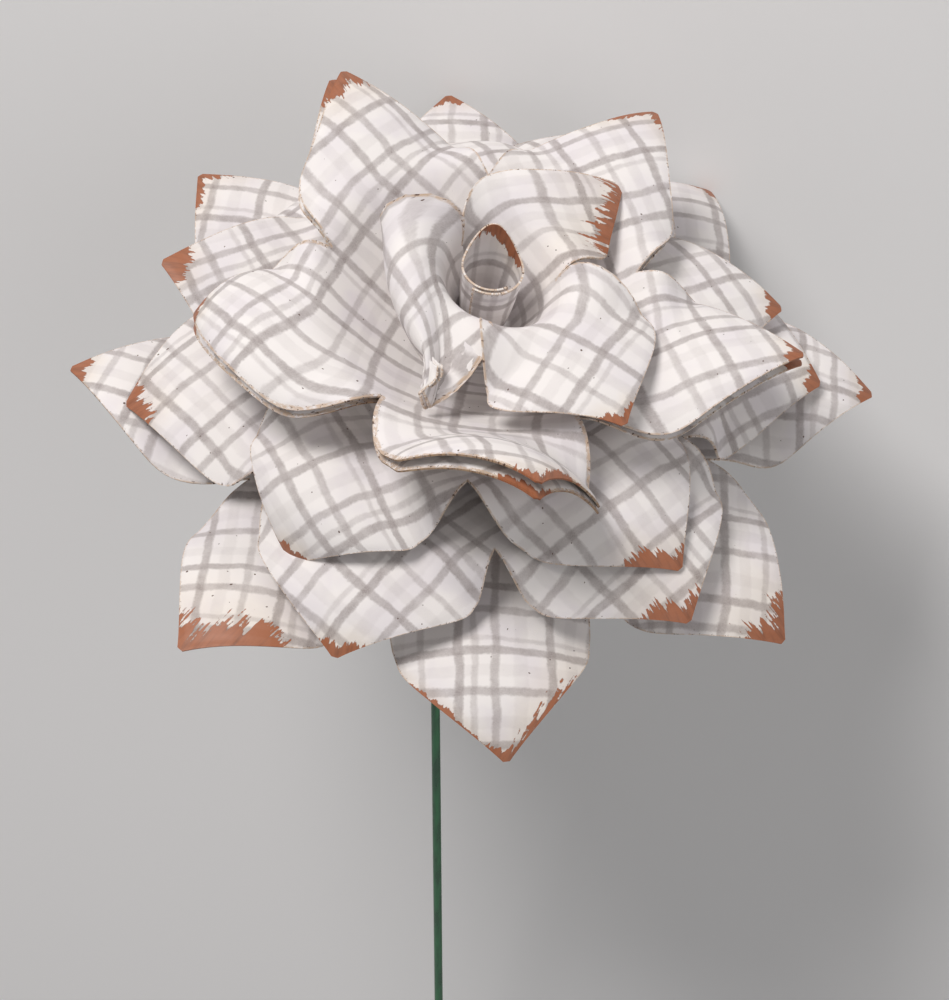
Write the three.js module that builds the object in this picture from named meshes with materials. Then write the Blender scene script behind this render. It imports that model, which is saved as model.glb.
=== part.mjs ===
// Paper flower on a wire stem, lying as it comes to rest. Millimetres, +Z up.
// Each layer of petals is cut from a flat pattern, with a slot between every two petals. The outer
// layer stays a flat sheet of eight. Each other layer loses a wedge and is closed to a cone: the
// innermost is a strip of four petals whose last one doubles its first, and the others are closed
// edge to edge. Past the slots the petals are bent outwards, and their tips curl down.
import * as THREE from 'three';

// the paper, and the petal that sets the size of every layer
const paperThickness = 0.3;
const petalWidth = 28.3; // of an outer petal, between its slots

// the outline that all petals share, as shares of a petal's own width and reach
const shoulderPlace = 0.36; // the corner, from the slots towards the tip
const shoulderSpread = 1.06; // the width there against the width between the slots
const innerSpread = 1.4; // the same in the inner ring, whose petals flare
const pointing = 0.25; // how far the edges draw in between the corner and the tip
const tipWidth = 1.0;

// the way a petal is bent, as shares of its reach from the slots to its tip
const bendEnd = 0.4; // here it has left the cone's slope for its own
const curlStart = 0.3; // from here on its tip curls
const swingEnd = 0.5; // here its sideways turn is complete
const bendBlend = 0.29; // length over which the cone passes into the bent petal, in petal widths

// fits between the pieces
const clearance = 0.3;
const lapRoom = 0.4; // free space between two turns of a wound strip
const lapStep = paperThickness + lapRoom;

// the roll in the middle: one petal wound to a tapered cup, its tip left as a lip
const rollMouthRadius = 4.8;
const rollBottomRadius = 3.4;
const rollHeight = 11;
const rollLip = 4.5;
const rollSeam = 235; // direction of its outer edge, in degrees
const rollLipDirection = 93;
const rollLap = 70; // how far its two edges overlap, in degrees
const rollLean = 7; // sideways tilt
const rollRoom = 0.9; // between its foot and the cone that it stands in

// the stem, a stiff wire that leaves the head along its axis and then bends
const wireDiameter = 1.5;
const wireSides = 10;
const wireTop = 8.5; // above the outer sheet, inside the cones
const stemLength = 250; // below the outer sheet
const stemLean = 20; // slope away from the head's axis, in degrees
const stemBendLength = 45;
const stemSideLength = 67.5; // over which it is set sideways
const stemSideStep = 6.5; // sideways set of the wire below its bend

// the glue under the outer sheet
const glueRadius = 6;
const glueHeight = 3;
// its outline from the foot up: share of its radius, share of its height
const glueOutline = [[0.45, 0.92], [0.8, 0.6], [1, 0.15], [1, 0]];

// colours of the finished pieces
const paperColour = 0xe6e0e2;
const wireColour = 0x1f5a38;
const glueColour = 0xe8e2d2;

const degrees = THREE.MathUtils.degToRad;
const nearly = 0.001;
const spineSteps = 60;

// rows and columns of a petal's grid: inside the slots, outside them, and from its middle line
const innerRows = 2;
const outerRows = 7;
const halfColumns = 3;
const rollColumns = 28;
const rollRows = 4;
const stemPieces = 40;
const stemSteps = 48;
const glueSides = 20;
const holeRadius = wireDiameter / 2 + clearance + paperThickness / 2;

// Layers from the outside in. sides: full circle over a petal's angle in the flat pattern; round:
// petals seen round the cone; strip: petals on the strip; first: direction of the first petal;
// lean: sideways tilt. In petal widths, width: of a petal between its slots; reach: from the line
// between its slots to its tip; raise: height of the cone's point; cup: radius of a petal's ridge.
// Then, in order round the layer and in degrees, rise: slope of a petal's middle stretch above the
// level; curl: further turn of its tip downwards; swing: sideways turn of a petal.
const layers = {
  outer_sheet: {
    sides: 8, round: 8, strip: 8, first: 3, lean: 0, width: 1, reach: 0.99, raise: 0, cup: 1.06,
    rise: [10, -4, -2, 8, 16, 14, 2, -4],
    curl: [46, 38, 22, 22, 26, 34, 50, 40],
    swing: [-2, 5, 2, -6, -14, -2, 3, 2],
  },
  lower_ring: {
    sides: 6.15, round: 6, strip: 6, first: 65, lean: 0, width: 1.2, reach: 0.85, raise: 0.028, cup: 1.2,
    rise: [0, 0, -1, -6, -6, -8],
    curl: [30, 30, 35, 40, 30, 22],
    swing: [0, 0, 0, 5, 2, -12],
  },
  middle_ring: {
    sides: 5.5, round: 5, strip: 5, first: 88, lean: 0, width: 1.095, reach: 0.955, raise: 0.085, cup: 0.99,
    rise: [0, 0, 5, -10, -6],
    curl: [25, 10, 60, 28, 25],
    swing: [8, 8, 12, 9, -8],
  },
  under_ring: {
    sides: 6, round: 5, strip: 5, first: 124, lean: 5, width: 1, reach: 0.99, raise: 0.219, cup: 0.777,
    rise: [8, 6, 46, 12, 3],
    curl: [20, 70, 38, 20, 25],
    swing: [-8, -28, 18, 16, 12],
  },
  upper_ring: {
    sides: 6, round: 5, strip: 5, first: 124, lean: 5, width: 1, reach: 0.99, raise: 0.2615, cup: 0.777,
    rise: [9, 8, 49, 14, 5],
    curl: [20, 70, 34, 20, 25],
    swing: [-12, -30, 18, 16, 6],
  },
  inner_ring: {
    sides: 7, round: 3, strip: 4, first: 183, lean: 12, width: 0.6, reach: 0.883, raise: 0.333, cup: 1.13,
    spread: innerSpread,
    rise: [-12, 2, 4],
    curl: [75, 20, 25],
    swing: [35, 8, -8],
  },
};
for (const layer of Object.values(layers)) {
  for (const key of ['width', 'reach', 'raise', 'cup']) layer[key] *= petalWidth;
}

function smooth(value) {
  const v = THREE.MathUtils.clamp(value, 0, 1);
  return v * v * (3 - 2 * v);
}

function patternAngle(layer) {
  return (2 * Math.PI) / layer.sides;
}

// from the middle of the flat pattern to the line between a petal's slots
function rootDistance(layer) {
  return layer.width / 2 / Math.tan(patternAngle(layer) / 2);
}

// slope of the cone from its axis
function coneSlope(layer) {
  return Math.asin(layer.round / layer.sides);
}

// half the width of a petal at a distance along its middle line
function halfWidth(layer, along) {
  const past = (along - rootDistance(layer)) / layer.reach;
  const widest = layer.width * (layer.spread ?? shoulderSpread);
  if (past <= 0) return along * Math.tan(patternAngle(layer) / 2);
  if (past <= shoulderPlace) {
    return THREE.MathUtils.lerp(layer.width, widest, past / shoulderPlace) / 2;
  }
  const share = (past - shoulderPlace) / (1 - shoulderPlace);
  return THREE.MathUtils.lerp(tipWidth, widest, (1 - share) * (1 - pointing * share)) / 2;
}

// the curve of a petal's middle line in its upright plane, past the slots
function petalSpine(layer, index) {
  const slope = coneSlope(layer);
  const middle = degrees(90 - layer.rise[index]);
  const curl = degrees(layer.curl[index]);
  const step = layer.reach / spineSteps;
  const root = rootDistance(layer);
  const points = [{ out: root * Math.sin(slope), up: root * Math.cos(slope), angle: slope }];
  for (let i = 1; i <= spineSteps; i += 1) {
    const share = (i - 0.5) / spineSteps;
    const curled = curl * smooth((share - curlStart) / (1 - curlStart));
    const angle = slope + (middle - slope) * smooth(share / bendEnd) + curled;
    const last = points[i - 1];
    points.push({ out: last.out + step * Math.sin(angle), up: last.up + step * Math.cos(angle), angle });
  }
  return (distance) => {
    const place = THREE.MathUtils.clamp(distance / step, 0, spineSteps - nearly);
    const low = points[Math.floor(place)];
    const high = points[Math.floor(place) + 1];
    const share = place - Math.floor(place);
    return {
      out: THREE.MathUtils.lerp(low.out, high.out, share),
      up: THREE.MathUtils.lerp(low.up, high.up, share),
      angle: THREE.MathUtils.lerp(low.angle, high.angle, share),
    };
  };
}

// turns of the wound strip from its first petal's middle line to a point
function woundTurns(layer, petal, along, across) {
  return (petal + Math.atan2(across, along) / patternAngle(layer)) / layer.round;
}

// how far a point lies below the first turn, because the strip laps under itself
function lapLift(layer, turns) {
  return layer.strip > layer.round ? -lapStep * turns : 0;
}

// a point of the flat pattern, wound into the layer's cone
function coneMap(layer, petal, along, across) {
  const slope = coneSlope(layer);
  const distance = Math.hypot(along, across);
  const turns = woundTurns(layer, petal, along, across);
  const direction = degrees(layer.first) + turns * 2 * Math.PI;
  const lift = lapLift(layer, turns);
  const out = distance * Math.sin(slope) - lift * Math.cos(slope);
  const up = distance * Math.cos(slope) + lift * Math.sin(slope);
  return new THREE.Vector3(out * Math.cos(direction), out * Math.sin(direction), up);
}

// the same point on the bent part of a petal, whose section changes from the cone's to a ridge
function bentMap(layer, petal, along, across, spine) {
  const slope = coneSlope(layer);
  const root = rootDistance(layer);
  const past = along - root;
  const share = past / layer.reach;
  const swing = degrees(layer.swing[petal % layer.round]) * smooth(share / swingEnd);
  const at = spine(past * Math.cos(swing) - across * Math.sin(swing));
  const side = past * Math.sin(swing) + across * Math.cos(swing);
  const coneCurve = Math.cos(slope) / (root * Math.sin(slope));
  const curve = THREE.MathUtils.lerp(coneCurve, -1 / layer.cup, smooth(share / bendEnd));
  const bow = curve * side;
  const bowed = Math.abs(bow) > nearly * nearly;
  const sideways = bowed ? Math.sin(bow) / curve : side;
  const lift = lapLift(layer, woundTurns(layer, petal, along, across));
  const inward = (bowed ? (1 - Math.cos(bow)) / curve : 0) + lift;
  const out = at.out - inward * Math.cos(at.angle);
  const up = at.up + inward * Math.sin(at.angle);
  const direction = degrees(layer.first) + (petal / layer.round) * 2 * Math.PI;
  return new THREE.Vector3(
    out * Math.cos(direction) - sideways * Math.sin(direction),
    out * Math.sin(direction) + sideways * Math.cos(direction),
    up,
  );
}

function petalPoint(layer, petal, along, across, spine) {
  const wound = coneMap(layer, petal, along, across);
  const past = along - rootDistance(layer);
  if (past <= 0) return wound;
  return wound.lerp(bentMap(layer, petal, along, across, spine), smooth(past / (bendBlend * petalWidth)));
}

// the grid of one layer: rows along each petal and columns across it, slots left open
function layerGrid(layer) {
  const leanRoom = (holeRadius * Math.sin(degrees(layer.lean))) / Math.tan(coneSlope(layer));
  const hole = (holeRadius + leanRoom) / Math.sin(coneSlope(layer));
  const root = rootDistance(layer);
  const rows = [];
  for (let i = 0; i <= innerRows; i += 1) rows.push(THREE.MathUtils.lerp(hole, root, i / innerRows));
  for (let i = 1; i <= outerRows; i += 1) rows.push(root + (layer.reach * i) / outerRows);
  const closed = layer.strip === layer.round;
  const points = [];
  const faces = [];
  let firstEdge = [];
  let edge = [];
  for (let petal = 0; petal < layer.strip; petal += 1) {
    const spine = petalSpine(layer, petal % layer.round);
    const grid = rows.map((along, row) => {
      const line = [];
      for (let column = -halfColumns; column <= halfColumns; column += 1) {
        const shared = row <= innerRows;
        if (shared && column === -halfColumns && petal > 0) {
          line.push(edge[row]);
        } else if (shared && column === halfColumns && closed && petal === layer.strip - 1) {
          line.push(firstEdge[row]);
        } else {
          const across = (halfWidth(layer, along) * column) / halfColumns;
          line.push(points.push(petalPoint(layer, petal, along, across, spine)) - 1);
        }
      }
      return line;
    });
    for (let row = 0; row < rows.length - 1; row += 1) {
      for (let column = 0; column < 2 * halfColumns; column += 1) {
        const a = grid[row][column];
        const b = grid[row + 1][column];
        const c = grid[row + 1][column + 1];
        const d = grid[row][column + 1];
        faces.push([a, b, c], [a, c, d]);
      }
    }
    edge = grid.map((line) => line[2 * halfColumns]);
    if (petal === 0) firstEdge = grid.map((line) => line[0]);
  }
  return { points, faces };
}

// a closed sheet of the paper's thickness about the grid, with a wall along every open edge
function thicken(grid, thickness) {
  const normals = grid.points.map(() => new THREE.Vector3());
  const edges = new Map();
  for (const [a, b, c] of grid.faces) {
    const first = grid.points[b].clone().sub(grid.points[a]);
    const second = grid.points[c].clone().sub(grid.points[a]);
    const normal = first.cross(second);
    for (const corner of [a, b, c]) normals[corner].add(normal);
    for (const [from, to] of [[a, b], [b, c], [c, a]]) {
      const back = `${to}_${from}`;
      if (edges.has(back)) edges.delete(back);
      else edges.set(`${from}_${to}`, [from, to]);
    }
  }
  const count = grid.points.length;
  const positions = [];
  for (const side of [0.5, -0.5]) {
    grid.points.forEach((point, i) => {
      const moved = point.clone().addScaledVector(normals[i].normalize(), side * thickness);
      positions.push(moved.x, moved.y, moved.z);
    });
  }
  const indices = [];
  for (const [a, b, c] of grid.faces) {
    indices.push(a, b, c);
    indices.push(count + a, count + c, count + b);
  }
  for (const [from, to] of edges.values()) {
    indices.push(from, count + from, count + to);
    indices.push(from, count + to, to);
  }
  const geometry = new THREE.BufferGeometry();
  geometry.setAttribute('position', new THREE.Float32BufferAttribute(positions, 3));
  geometry.setIndex(indices);
  geometry.computeVertexNormals();
  return geometry;
}

function paper() {
  return new THREE.MeshStandardMaterial({ color: paperColour, roughness: 0.75, metalness: 0 });
}

function layerMesh(name) {
  const layer = layers[name];
  const mesh = new THREE.Mesh(thicken(layerGrid(layer), paperThickness), paper());
  mesh.name = name;
  mesh.position.z = layer.raise;
  mesh.rotation.y = degrees(layer.lean);
  return mesh;
}

function rollMesh() {
  const slope = coneSlope(layers.inner_ring);
  const seat = rollBottomRadius + paperThickness / 2 + rollRoom + paperThickness / 2 / Math.cos(slope);
  const bottom = seat / Math.tan(slope);
  const points = [];
  const faces = [];
  for (let column = 0; column <= rollColumns; column += 1) {
    const turn = (degrees(360 + rollLap) * column) / rollColumns;
    const direction = degrees(rollSeam) + turn;
    const fromLip = Math.cos(direction - degrees(rollLipDirection));
    const top = rollHeight + rollLip * Math.max(fromLip, 0) ** 3;
    for (let row = 0; row <= rollRows; row += 1) {
      const share = row / rollRows;
      const taper = THREE.MathUtils.lerp(rollBottomRadius, rollMouthRadius, Math.sqrt(share));
      const radius = taper - (lapStep * turn) / (2 * Math.PI);
      points.push(new THREE.Vector3(
        radius * Math.cos(direction),
        radius * Math.sin(direction),
        bottom + top * share,
      ));
    }
  }
  for (let column = 0; column < rollColumns; column += 1) {
    for (let row = 0; row < rollRows; row += 1) {
      const a = column * (rollRows + 1) + row;
      const b = a + rollRows + 1;
      faces.push([a, b, b + 1], [a, b + 1, a + 1]);
    }
  }
  const mesh = new THREE.Mesh(thicken({ points, faces }, paperThickness), paper());
  mesh.name = 'centre_roll';
  mesh.position.z = layers.inner_ring.raise;
  mesh.rotation.y = degrees(rollLean);
  return mesh;
}

// points of the wire's middle line, from its top down
function stemLine() {
  const line = [new THREE.Vector3(0, 0, wireTop)];
  const step = stemLength / stemPieces;
  const at = new THREE.Vector3(0, 0, 0);
  for (let i = 0; i <= stemPieces; i += 1) {
    line.push(at.clone().setX(-stemSideStep * smooth((i * step - glueHeight) / stemSideLength)));
    const lean = degrees(stemLean) * smooth((i * step) / stemBendLength);
    at.y -= step * Math.sin(lean);
    at.z -= step * Math.cos(lean);
  }
  return line;
}

function stemMesh() {
  const section = new THREE.Shape();
  for (let i = 0; i < wireSides; i += 1) {
    const angle = (i / wireSides) * 2 * Math.PI;
    const x = (wireDiameter / 2) * Math.cos(angle);
    const y = (wireDiameter / 2) * Math.sin(angle);
    if (i === 0) section.moveTo(x, y);
    else section.lineTo(x, y);
  }
  const path = new THREE.CatmullRomCurve3(stemLine());
  const settings = { steps: stemSteps, bevelEnabled: false, extrudePath: path };
  const geometry = new THREE.ExtrudeGeometry(section, settings);
  const material = new THREE.MeshStandardMaterial({ color: wireColour, roughness: 0.3, metalness: 0 });
  const mesh = new THREE.Mesh(geometry, material);
  mesh.name = 'stem_wire';
  return mesh;
}

function glueMesh() {
  const bore = wireDiameter / 2 + clearance;
  const top = -(paperThickness / 2 + clearance);
  const outline = glueOutline.map(([radius, height]) => (
    new THREE.Vector2(glueRadius * radius, top - glueHeight * height)));
  const profile = [
    new THREE.Vector2(bore, top),
    new THREE.Vector2(bore, top - glueHeight),
    ...outline,
    new THREE.Vector2(bore, top),
  ];
  const material = new THREE.MeshStandardMaterial({ color: glueColour, roughness: 0.4, metalness: 0 });
  const mesh = new THREE.Mesh(new THREE.LatheGeometry(profile, glueSides).rotateX(Math.PI / 2), material);
  mesh.name = 'glue_dab';
  return mesh;
}

// the flower standing on its own axis
const flower = new THREE.Group();
for (const name of Object.keys(layers)) flower.add(layerMesh(name));
flower.add(rollMesh(), stemMesh(), glueMesh());

// the places it lies on: the tips of two neighbouring outer petals and the end of the stem
const restPetals = [1, 2];
const footReach = 6; // how far back from its end a foot may touch
const firstUp = new THREE.Vector3(0, -1, 0.6).normalize(); // near the upright of the lying flower
const settlings = 5;

function footPoints() {
  const feet = restPetals.map((petal) => {
    const direction = degrees(layers.outer_sheet.first + (360 / layers.outer_sheet.round) * petal);
    return { mesh: 'outer_sheet', near: new THREE.Vector3(Math.cos(direction), Math.sin(direction), 0) };
  });
  feet.push({ mesh: 'stem_wire', near: new THREE.Vector3(0, 0, -1) });
  return feet.map(({ mesh, near }) => {
    const places = flower.getObjectByName(mesh).geometry.getAttribute('position');
    const points = [];
    for (let i = 0; i < places.count; i += 1) points.push(new THREE.Vector3().fromBufferAttribute(places, i));
    const reach = Math.max(...points.map((point) => point.dot(near)));
    return points.filter((point) => point.dot(near) > reach - footReach);
  });
}

// turns and drops the flower until the three places touch the ground, its stem along -Y
function layDown(group) {
  const feet = footPoints();
  let up = firstUp;
  let contact = [];
  for (let i = 0; i < settlings; i += 1) {
    contact = feet.map((points) => (
      points.reduce((low, point) => (point.dot(up) < low.dot(up) ? point : low))));
    const first = contact[1].clone().sub(contact[0]);
    const second = contact[2].clone().sub(contact[0]);
    const normal = first.cross(second).normalize();
    up = normal.dot(up) < 0 ? normal.negate() : normal;
  }
  const head = contact[0].clone().add(contact[1]).multiplyScalar(0.5).sub(contact[2]);
  const forward = head.addScaledVector(up, -head.dot(up)).normalize();
  const right = forward.clone().cross(up);
  const turn = new THREE.Matrix4().makeBasis(right, forward, up).transpose();
  group.quaternion.setFromRotationMatrix(turn);
  group.updateMatrixWorld(true);
  const box = new THREE.Box3().setFromObject(group, true);
  const middle = box.getCenter(new THREE.Vector3());
  group.position.set(-middle.x, -middle.y, -box.min.z);
}

layDown(flower);
const paperFlower = new THREE.Group();
paperFlower.add(flower);

export default paperFlower;
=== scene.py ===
"""Paper flower on a wire stem: the finished paper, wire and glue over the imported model."""
import math

import bpy
import numpy as np
from mathutils import Matrix, Vector, noise

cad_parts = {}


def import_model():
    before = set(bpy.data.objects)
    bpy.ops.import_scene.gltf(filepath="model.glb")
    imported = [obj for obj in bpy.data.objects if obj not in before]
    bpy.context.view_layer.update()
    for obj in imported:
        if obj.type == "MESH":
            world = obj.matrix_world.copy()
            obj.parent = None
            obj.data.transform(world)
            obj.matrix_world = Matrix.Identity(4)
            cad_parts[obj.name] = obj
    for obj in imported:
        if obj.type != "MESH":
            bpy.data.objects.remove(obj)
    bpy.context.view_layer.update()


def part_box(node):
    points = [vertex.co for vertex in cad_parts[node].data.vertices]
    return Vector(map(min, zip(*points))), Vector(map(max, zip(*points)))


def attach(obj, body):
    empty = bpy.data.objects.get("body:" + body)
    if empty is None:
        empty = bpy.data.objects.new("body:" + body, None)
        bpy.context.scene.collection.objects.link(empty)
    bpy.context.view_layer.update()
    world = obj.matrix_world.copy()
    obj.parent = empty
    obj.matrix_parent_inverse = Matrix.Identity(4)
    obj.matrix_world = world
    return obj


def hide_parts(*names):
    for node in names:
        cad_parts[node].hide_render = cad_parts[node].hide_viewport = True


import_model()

MM = 0.001

# Sizes in millimetres and angles in degrees, the same as in the solid model.
PAPER_THICKNESS = 0.3
CLEARANCE = 0.3
LAP_ROOM = 0.4  # between two turns of a wound strip
LAP_STEP = PAPER_THICKNESS + LAP_ROOM
PETAL_WIDTH = 28.3  # of an outer petal, between its slots
ROLL = dict(mouth=4.8, bottom=3.4, height=11, lip=4.5, seam=235, lip_direction=93, lap=70, lean=7, room=0.9)
WIRE_DIAMETER = 1.5
WIRE_TOP = 8.5  # above the outer sheet, inside the cones
STEM_LENGTH = 250
STEM_LEAN = 20  # slope away from the head's axis
STEM_BEND = 45
STEM_SIDE_LENGTH = 67.5
STEM_SIDE_STEP = 6.5
GLUE_RADIUS = 6
GLUE_HEIGHT = 3
HOLE_RADIUS = WIRE_DIAMETER / 2 + CLEARANCE + PAPER_THICKNESS / 2

# The outline that all petals share. Widths are shares of the width between the slots.
SHOULDER_PLACE = 0.36
SHOULDER_SPREAD = 1.06
INNER_SPREAD = 1.4
POINTING = 0.25
TIP_WIDTH = 1.0  # this one in millimetres
CORNER = 1.4  # how sharply the outline turns at its shoulder

# The way a petal is bent, in shares of its reach, and the length over which the bend sets in.
BEND_END, CURL_START, SWING_END = 0.4, 0.3, 0.5
BEND_BLEND = 0.29 * PETAL_WIDTH
SPINE_STEPS = 60

# How the flower lies: on the tips of two outer petals and the end of its stem.
REST_PETALS = (1, 2)
FOOT_REACH = 6
FIRST_UP = (0, -1, 0.6)  # near the upright of the lying flower

# Grids of a petal: rows inside and past the slots, and columns from its middle line.
SOLID_GRID = (2, 7, 3)
FINE_GRID = (8, 40, 16)
CROWDING = 0.7  # how far the fine rows and columns crowd towards the cut edge
SOLID_STEM_PIECES = 40
FINE_STEM_PIECES = 160
SHARP_ANGLE = 48

# The way to the cut edge: a slanted side is nearer than it is across, and the tip a little further.
SIDE_SLANT = 0.9
TIP_ROOM = 0.4

# Dents and waves of hand-curled paper, free of the middle of the head, and its pressed-down edges.
BROAD_DENT, BROAD_SIZE = 0.22, 11
FINE_DENT, FINE_SIZE = 0.05, 4.2
DENTS_START, DENTS_RISE = 8, 14
PRESSED_EDGE, PRESSED_BY_WEAR, PRESSED_WIDTH = 0.1, 0.28, 1.5

# Layers from the outside in; lengths in petal widths. turn and shift: of the print on the flat sheet.
LAYERS = {
    "outer_sheet": dict(
        sides=8, round=8, strip=8, first=3, lean=0, width=1, reach=0.99, up=0, cup=1.06,
        rise=[10, -4, -2, 8, 16, 14, 2, -4], curl=[46, 38, 22, 22, 26, 34, 50, 40],
        swing=[-2, 5, 2, -6, -14, -2, 3, 2], turn=6, shift=(1.5, 3.0)),
    "lower_ring": dict(
        sides=6.15, round=6, strip=6, first=65, lean=0, width=1.2, reach=0.85, up=0.028, cup=1.2,
        rise=[0, 0, -1, -6, -6, -8], curl=[30, 30, 35, 40, 30, 22],
        swing=[0, 0, 0, 5, 2, -12], turn=27, shift=(4.0, 1.0)),
    "middle_ring": dict(
        sides=5.5, round=5, strip=5, first=88, lean=0, width=1.095, reach=0.955, up=0.085, cup=0.99,
        rise=[0, 0, 5, -10, -6], curl=[25, 10, 60, 28, 25],
        swing=[8, 8, 12, 9, -8], turn=-14, shift=(2.2, 6.0)),
    "under_ring": dict(
        sides=6, round=5, strip=5, first=124, lean=5, width=1, reach=0.99, up=0.219, cup=0.777,
        rise=[8, 6, 46, 12, 3], curl=[20, 70, 38, 20, 25],
        swing=[-8, -28, 18, 16, 12], turn=40, shift=(7.0, 2.0)),
    "upper_ring": dict(
        sides=6, round=5, strip=5, first=124, lean=5, width=1, reach=0.99, up=0.2615, cup=0.777,
        rise=[9, 8, 49, 14, 5], curl=[20, 70, 34, 20, 25],
        swing=[-12, -30, 18, 16, 6], turn=-24, shift=(0.5, 4.5)),
    "inner_ring": dict(
        sides=7, round=3, strip=4, first=183, lean=12, width=0.6, reach=0.883, up=0.333, cup=1.13,
        spread=INNER_SPREAD, rise=[-12, 2, 4], curl=[75, 20, 25],
        swing=[35, 8, -8], turn=12, shift=(3.0, 2.5)),
}

# How the finished petals differ from the plain ones of the solid model: fuller outlines, and
# petals that were bent one by one. Lists go round the layer.
BY_HAND = {
    "outer_sheet": dict(pointing=0, full=[0.3, 0.2, 0.2, 0.2, 0.3, 0.9, 0.8, 0.4],
                        rise=[10, -4, 3, 8, 16, 14, 2, -4], curl=[46, 38, 18, 22, 26, 34, 50, 40]),
    "lower_ring": dict(pointing=0, full=[0.5, 0.3, 0.6, 0.9, 0.9, 0.6], rise=[0, -14, -1, -6, -6, -8],
                       curl=[30, 75, 35, 40, 30, 22]),
    "middle_ring": dict(pointing=0, full=[0.1, 0.6, 1.0, 1.1, 0.3], rise=[-8, 3, 5, -10, -6],
                        curl=[45, 2, 86, 28, 25], swing=[8, 8, 0, 9, -8]),
    "under_ring": dict(pointing=0, full=[-0.3, 0.4, 2.2, 0.2, -0.3], spread=[1.0, 1.15, 1.15, 1.06, 1.0],
                       rise=[8, 6, 52, 12, 3], curl=[20, 70, 34, 20, 25], swing=[-8, -22, 16, 16, 12]),
    "upper_ring": dict(pointing=0, full=[-0.3, 0.4, 2.2, 0.2, -0.3], spread=[1.0, 1.15, 1.15, 1.06, 1.0],
                       rise=[9, 8, 55, 14, 5], curl=[20, 70, 30, 20, 25], swing=[-12, -24, 16, 16, 6]),
    "inner_ring": dict(first=192, pointing=0, full=[1.0, 1.6, -0.2], spread=[2.0, 1.75, 1.3],
                       rise=[24, 10, 4], curl=[140, 25, 25], swing=[34, -8, -27],
                       curl_span=[(0.25, 0.66), (0.3, 1), (0.3, 1)]),
}

# The lengths of the layers, from petal widths to millimetres.
for sizes in LAYERS.values():
    for length in ("width", "reach", "up", "cup"):
        sizes[length] *= PETAL_WIDTH

# Paint of each petal, dragged in from its cut edge along its middle line: the place across and half
# the span of the stroke, its length, how ragged its end is, and how far the brush was turned.
STROKE_REACH = 0.8
STROKE_INSET = 0.3
UNPAINTED = -9.0
PAINT = {
    "outer_sheet": {
        0: [(0, 2.9, 3.3, 1.0, 0)], 1: [(0, 2.9, 3.5, 1.0, 0)], 2: [(0, 2.9, 3.3, 1.0, 0)],
        3: [(1, 5, 3.0, 1.5, 0)], 4: [(0, 2.9, 3.7, 1.0, 0)],
        5: [(3.4, 7.5, 7.4, 4.2, 0)],
        6: [(0, 3.5, 2.4, 1.0, 0), (-8.5, 6, 1.6, 0.8, 0), (6, 6.0, 3.0, 2.6, 35)],
        7: [(0, 5.0, 5.8, 3.4, 0)],
    },
    "lower_ring": {
        0: [(0, 2.9, 3.7, 1.0, 0)], 1: [(0, 2.9, 3.7, 1.0, 0)], 2: [(1, 4.4, 4.6, 2.0, 0)],
        3: [(0.5, 3.6, 3.0, 1.0, 0)], 4: [(-1, 5.4, 4.4, 2.2, 0)], 5: [(0, 2.9, 3.5, 1.0, 0)],
    },
    "middle_ring": {
        0: [(0, 2.9, 3.7, 1.0, 0)], 1: [(0, 3.6, 5.4, 1.2, 0)], 2: [(0, 2.9, 3.9, 0.9, 0)],
        3: [(-2.0, 5.2, 4.6, 1.8, 0)], 4: [(0, 2.9, 3.7, 1.0, 0)],
    },
    "under_ring": {
        0: [(0, 4.2, 5.4, 2.2, 0)], 1: [(0, 2.9, 3.7, 1.0, 0)], 2: [(-1, 4.6, 2.6, 1.0, 0)],
        3: [(0, 2.9, 3.3, 1.0, 0)], 4: [(1, 4.2, 5.0, 1.8, 0)],
    },
    "upper_ring": {
        0: [(1, 4.2, 5.0, 2.2, 0)], 1: [(0, 2.9, 4.1, 1.0, 0)], 2: [(2.6, 6.5, 2.8, 1.3, 20)],
        3: [(0, 2.9, 3.1, 1.0, 0)], 4: [(1, 4.6, 3.2, 1.5, 0)],
    },
    "inner_ring": {
        0: [(0, 2.9, 2.3, 1.0, 0)], 1: [(0, 3.4, 2.4, 0.8, 0)], 2: [(-4.5, 6.5, 7.4, 5.5, 42)],
        3: [(0, 2.9, 2.3, 1.0, 0)],
    },
}

# How far the rubbed, inked border reaches in from the cut edge, and how far that edge curls under.
# STRONG_WEAR holds single petals that are rubbed more than the rest of their layer.
WEAR = {"outer_sheet": 0.08, "lower_ring": 0.1, "middle_ring": 0.1, "under_ring": 0.14,
        "upper_ring": 0.12, "inner_ring": 0.14}
STRONG_WEAR = {("under_ring", 2): 0.6, ("upper_ring", 2): 0.5, ("under_ring", 1): 0.6,
               ("upper_ring", 1): 0.4, ("inner_ring", 0): 0.35, ("inner_ring", 3): 0.35}


def smooth(value):
    v = np.clip(value, 0, 1)
    return v * v * (3 - 2 * v)


def lerp(a, b, share):
    return a + (b - a) * share


def about_y(angle):
    """The turn by an angle in degrees about the Y axis."""
    c, s = math.cos(math.radians(angle)), math.sin(math.radians(angle))
    return np.array([[c, 0, s], [0, 1, 0], [-s, 0, c]])


# The flat pattern, and the way it is wound and bent

def pattern_angle(layer):
    return 2 * math.pi / layer["sides"]


def root_distance(layer):
    return layer["width"] / 2 / math.tan(pattern_angle(layer) / 2)


def cone_slope(layer):
    return math.asin(layer["round"] / layer["sides"])


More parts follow.
